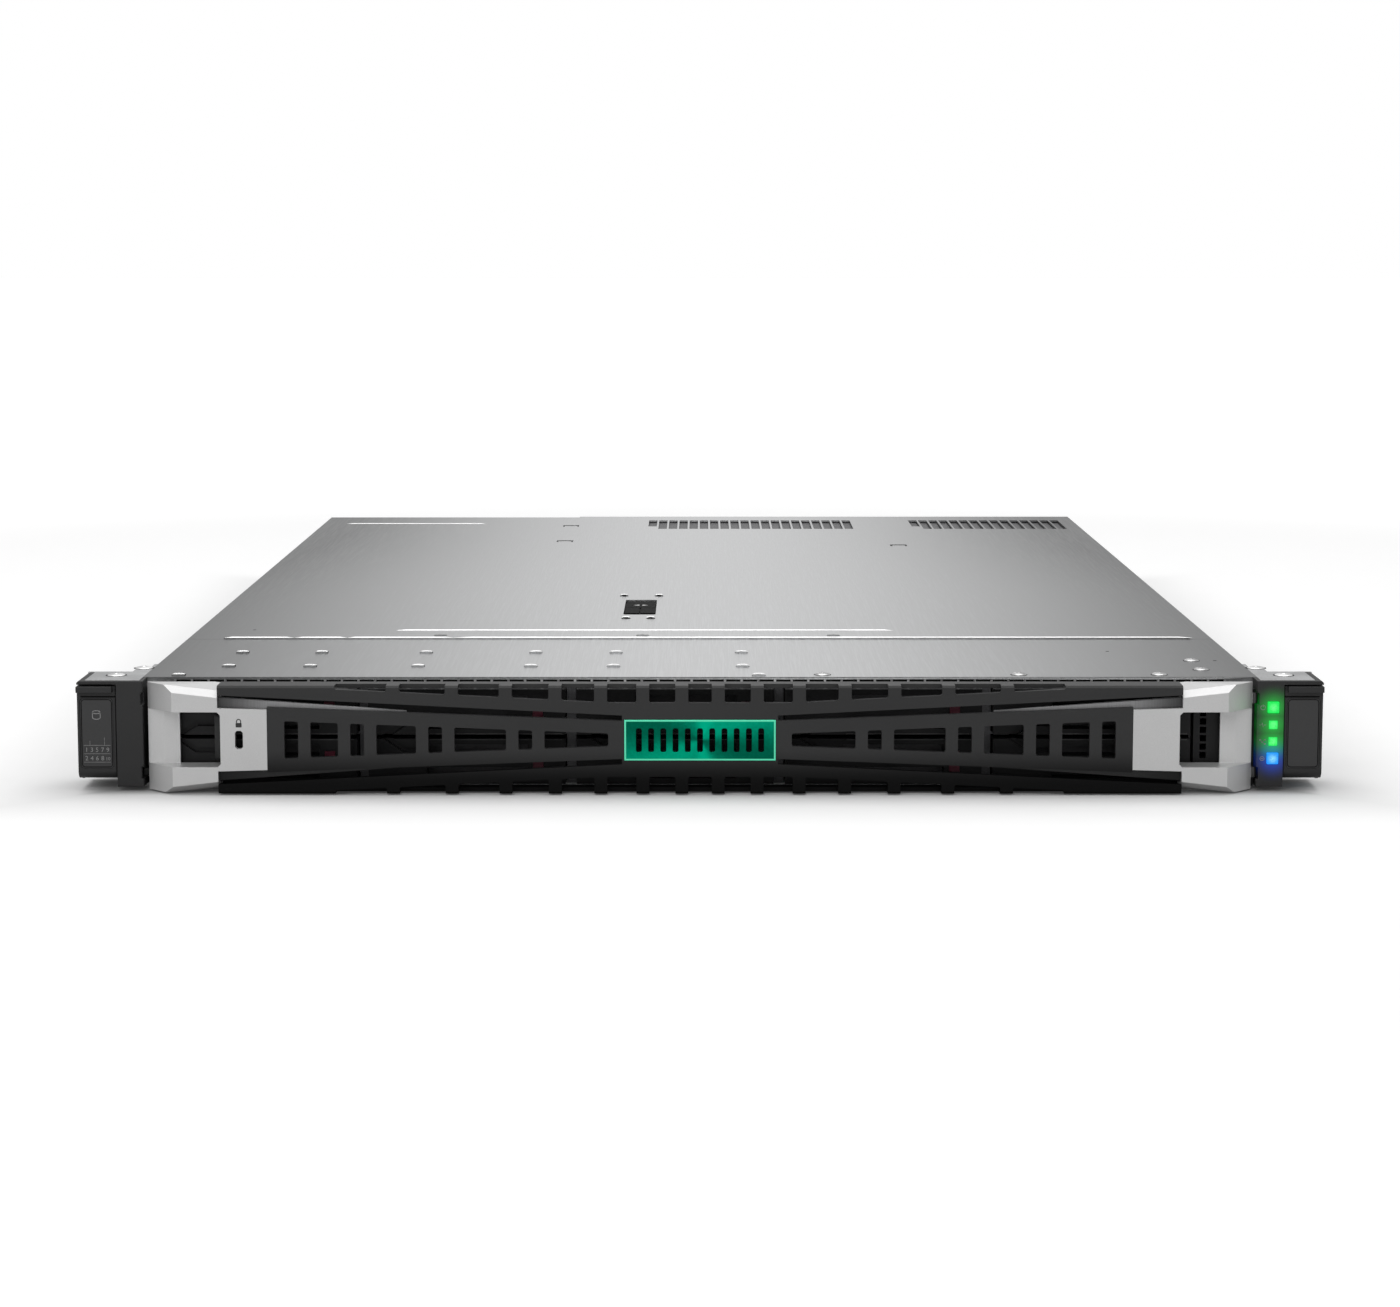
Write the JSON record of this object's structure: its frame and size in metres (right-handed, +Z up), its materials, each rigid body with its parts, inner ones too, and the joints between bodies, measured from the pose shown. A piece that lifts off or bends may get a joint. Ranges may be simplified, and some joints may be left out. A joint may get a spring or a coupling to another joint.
{
  "type": "rack server",
  "caption": "Flat rack server with a slotted front bezel, swing-down ear latches, sliding top panel, drive carriers, fans and pull-out power supplies.",
  "frame": {"origin": "on the underside, below the middle of the whole machine", "axes": "+Z up, the front bezel faces -Y, +X to the right seen from the front"},
  "size_m": [0.4826, 0.7348, 0.0439],
  "materials": {
    "body_steel": "brushed",
    "galvanised": "matt zinc",
    "black_plastic": "fine texture",
    "silver": "satin",
    "trim": "brushed",
    "green_metal": "metallic",
    "green_lamp": "lit",
    "blue_lamp": "lit",
    "maroon": "satin",
    "aluminium": "plain",
    "board": "solder mask",
    "screw": "zinc plated",
    "orange": "satin"
  },
  "bodies": {
    "chassis": {"chassis_tray": "body_steel", "front_cover": "body_steel", "rivets": "galvanised", "rail_studs": "galvanised", "drive_cage": "galvanised", "drive_backplane": "board", "front_port_panel": "black_plastic", "disk_drives": "aluminium", "drive_releases": "maroon", "drive_carrier_1": "black_plastic", "drive_carrier_2": "black_plastic", "drive_carrier_3": "black_plastic", "drive_carrier_4": "black_plastic", "drive_carrier_5": "black_plastic", "drive_carrier_6": "black_plastic", "drive_carrier_7": "black_plastic", "drive_carrier_8": "black_plastic", "drive_carrier_9": "black_plastic", "drive_carrier_10": "black_plastic", "left_ear_bracket": "galvanised", "right_ear_bracket": "galvanised", "left_ear_housing": "black_plastic", "right_ear_housing": "black_plastic", "rack_screws": "screw", "status_lamps": "green_lamp", "fan_frames": "black_plastic", "system_board": "board", "cpu_heatsink": "aluminium", "memory_modules": "board", "air_baffle": "black_plastic", "riser_cages": "galvanised", "slot_blanks": "galvanised", "rear_ports": "aluminium", "psu_cage": "galvanised"},
    "access_panel": {"access_panel": "body_steel", "latch_cup": "black_plastic"},
    "panel_latch": {"panel_latch": "black_plastic"},
    "bezel": {"bezel_grille": "black_plastic", "bezel_center_insert": "green_metal", "bezel_trim_bars": "trim", "bezel_right_handle": "silver", "bezel_left_handle": "silver"},
    "bezel_release": {"bezel_release": "black_plastic"},
    "left_ear_latch": {"left_ear_latch": "black_plastic"},
    "right_ear_latch": {"right_ear_latch": "black_plastic"},
    "power_button": {"power_button": "green_lamp"},
    "id_button": {"id_button": "blue_lamp"},
    "fan_rotor_1": {"fan_rotor_1": "black_plastic"},
    "fan_rotor_2": {"fan_rotor_2": "black_plastic"},
    "fan_rotor_3": {"fan_rotor_3": "black_plastic"},
    "fan_rotor_4": {"fan_rotor_4": "black_plastic"},
    "fan_rotor_5": {"fan_rotor_5": "black_plastic"},
    "fan_rotor_6": {"fan_rotor_6": "black_plastic"},
    "fan_rotor_7": {"fan_rotor_7": "black_plastic"},
    "psu_1": {"psu_1_case": "aluminium", "psu_1_face": "black_plastic"},
    "psu_1_tab": {"psu_1_tab": "orange"},
    "psu_2": {"psu_2_case": "aluminium", "psu_2_face": "black_plastic"},
    "psu_2_tab": {"psu_2_tab": "orange"}
  },
  "joints": [
    {"name": "panel_slide", "type": "slide", "parent": "chassis", "child": "access_panel", "axis": [0, 1, 0], "range_m": [0, 0.012]},
    {"name": "panel_latch_hinge", "type": "hinge", "parent": "access_panel", "child": "panel_latch", "pos_m": [-0.02725, -0.08785, 0.038], "axis": [-1, 0, 0], "range_deg": [0, 90]},
    {"name": "bezel_hinge", "type": "hinge", "parent": "chassis", "child": "bezel", "pos_m": [0.215, -0.35385, 0.02145], "axis": [0, 0, 1], "range_deg": [0, 30]},
    {"name": "bezel_release_slide", "type": "slide", "parent": "bezel", "child": "bezel_release", "axis": [1, 0, 0], "range_m": [0, 0.003], "stiffness_N_per_m": 500},
    {"name": "left_ear_latch_hinge", "type": "hinge", "parent": "chassis", "child": "left_ear_latch", "pos_m": [-0.233, -0.35285, 0.0075], "axis": [1, 0, 0], "range_deg": [0, 90]},
    {"name": "right_ear_latch_hinge", "type": "hinge", "parent": "chassis", "child": "right_ear_latch", "pos_m": [0.233, -0.35285, 0.0075], "axis": [1, 0, 0], "range_deg": [0, 90]},
    {"name": "power_button_press", "type": "slide", "parent": "chassis", "child": "power_button", "axis": [0, 1, 0], "range_m": [0, 0.001], "stiffness_N_per_m": 800},
    {"name": "id_button_press", "type": "slide", "parent": "chassis", "child": "id_button", "axis": [0, 1, 0], "range_m": [0, 0.001], "stiffness_N_per_m": 800},
    {"name": "fan_1_spin", "type": "hinge", "parent": "chassis", "child": "fan_rotor_1", "pos_m": [-0.18, -0.16885, 0.021], "axis": [0, 1, 0], "continuous": true},
    {"name": "fan_2_spin", "type": "hinge", "parent": "chassis", "child": "fan_rotor_2", "pos_m": [-0.12, -0.16885, 0.021], "axis": [0, 1, 0], "continuous": true},
    {"name": "fan_3_spin", "type": "hinge", "parent": "chassis", "child": "fan_rotor_3", "pos_m": [-0.06, -0.16885, 0.021], "axis": [0, 1, 0], "continuous": true},
    {"name": "fan_4_spin", "type": "hinge", "parent": "chassis", "child": "fan_rotor_4", "pos_m": [0, -0.16885, 0.021], "axis": [0, 1, 0], "continuous": true},
    {"name": "fan_5_spin", "type": "hinge", "parent": "chassis", "child": "fan_rotor_5", "pos_m": [0.06, -0.16885, 0.021], "axis": [0, 1, 0], "continuous": true},
    {"name": "fan_6_spin", "type": "hinge", "parent": "chassis", "child": "fan_rotor_6", "pos_m": [0.12, -0.16885, 0.021], "axis": [0, 1, 0], "continuous": true},
    {"name": "fan_7_spin", "type": "hinge", "parent": "chassis", "child": "fan_rotor_7", "pos_m": [0.18, -0.16885, 0.021], "axis": [0, 1, 0], "continuous": true},
    {"name": "psu_1_slide", "type": "slide", "parent": "chassis", "child": "psu_1", "axis": [0, 1, 0], "range_m": [0, 0.18]},
    {"name": "psu_1_tab_press", "type": "slide", "parent": "psu_1", "child": "psu_1_tab", "axis": [-1, 0, 0], "range_m": [0, 0.002], "stiffness_N_per_m": 600},
    {"name": "psu_2_slide", "type": "slide", "parent": "chassis", "child": "psu_2", "axis": [0, 1, 0], "range_m": [0, 0.18]},
    {"name": "psu_2_tab_press", "type": "slide", "parent": "psu_2", "child": "psu_2_tab", "axis": [-1, 0, 0], "range_m": [0, 0.002], "stiffness_N_per_m": 600}
  ],
  "couplings": [
    {"joint": "panel_latch_hinge", "follows": "panel_slide", "rad_per_m": 130.7}
  ]
}
